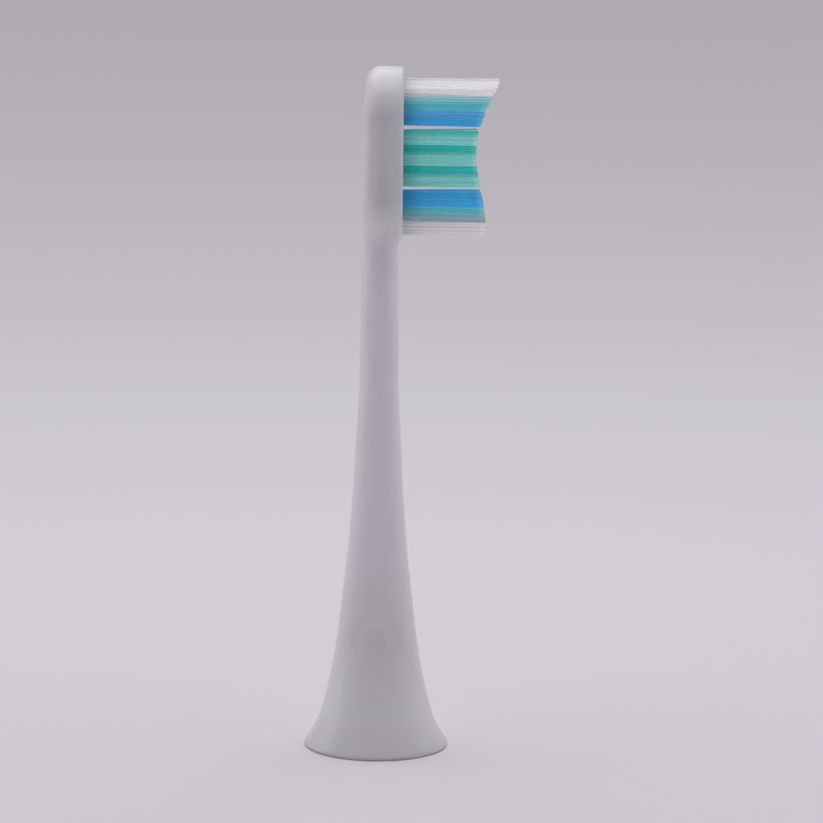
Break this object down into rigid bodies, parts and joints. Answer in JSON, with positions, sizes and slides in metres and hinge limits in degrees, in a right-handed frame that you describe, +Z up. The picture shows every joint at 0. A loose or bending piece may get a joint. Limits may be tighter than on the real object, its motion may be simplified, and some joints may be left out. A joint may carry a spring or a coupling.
{
  "type": "electric toothbrush head",
  "caption": "Replacement brush head for a sonic electric toothbrush: slim white neck with a flared base and drive socket, and side-facing bristle tufts in coloured rows.",
  "frame": {"origin": "middle of the base rim, on the drive shaft's axis", "axes": "+Z up the shaft axis towards the toe of the head, +X the way the bristles point"},
  "size_m": [0.0212, 0.0164, 0.077],
  "materials": {
    "body_plastic": "satin white polypropylene",
    "plug_plastic": "natural acetal",
    "spring_steel": "rolled stainless strip",
    "anchor_metal": "nickel silver wire",
    "bristle_white": "drawn nylon filament",
    "bristle_teal": "drawn nylon filament",
    "bristle_blue": "drawn nylon filament",
    "bristle_green": "drawn nylon filament"
  },
  "bodies": {
    "root": {"brush_body": "body_plastic", "drive_plug": "plug_plastic", "shaft_clip": "spring_steel", "tuft_anchors": "anchor_metal", "tuft_green_1": "bristle_green", "tuft_green_10": "bristle_green", "tuft_green_11": "bristle_green", "tuft_green_12": "bristle_green", "tuft_green_13": "bristle_green", "tuft_green_2": "bristle_green", "tuft_green_3": "bristle_green", "tuft_green_4": "bristle_green", "tuft_green_5": "bristle_green", "tuft_green_6": "bristle_green", "tuft_green_7": "bristle_green", "tuft_green_8": "bristle_green", "tuft_green_9": "bristle_green", "tuft_heel_blue_1": "bristle_blue", "tuft_heel_blue_2": "bristle_blue", "tuft_heel_blue_3": "bristle_blue", "tuft_heel_blue_4": "bristle_blue", "tuft_heel_blue_5": "bristle_blue", "tuft_heel_teal_1": "bristle_teal", "tuft_heel_teal_2": "bristle_teal", "tuft_heel_teal_3": "bristle_teal", "tuft_heel_teal_4": "bristle_teal", "tuft_heel_white_1": "bristle_white", "tuft_heel_white_2": "bristle_white", "tuft_heel_white_3": "bristle_white", "tuft_toe_blue_1": "bristle_blue", "tuft_toe_blue_2": "bristle_blue", "tuft_toe_blue_3": "bristle_blue", "tuft_toe_blue_4": "bristle_blue", "tuft_toe_blue_5": "bristle_blue", "tuft_toe_teal_1": "bristle_teal", "tuft_toe_teal_2": "bristle_teal", "tuft_toe_teal_3": "bristle_teal", "tuft_toe_teal_4": "bristle_teal", "tuft_toe_white_1": "bristle_white", "tuft_toe_white_2": "bristle_white", "tuft_toe_white_3": "bristle_white"}
  },
  "joints": []
}
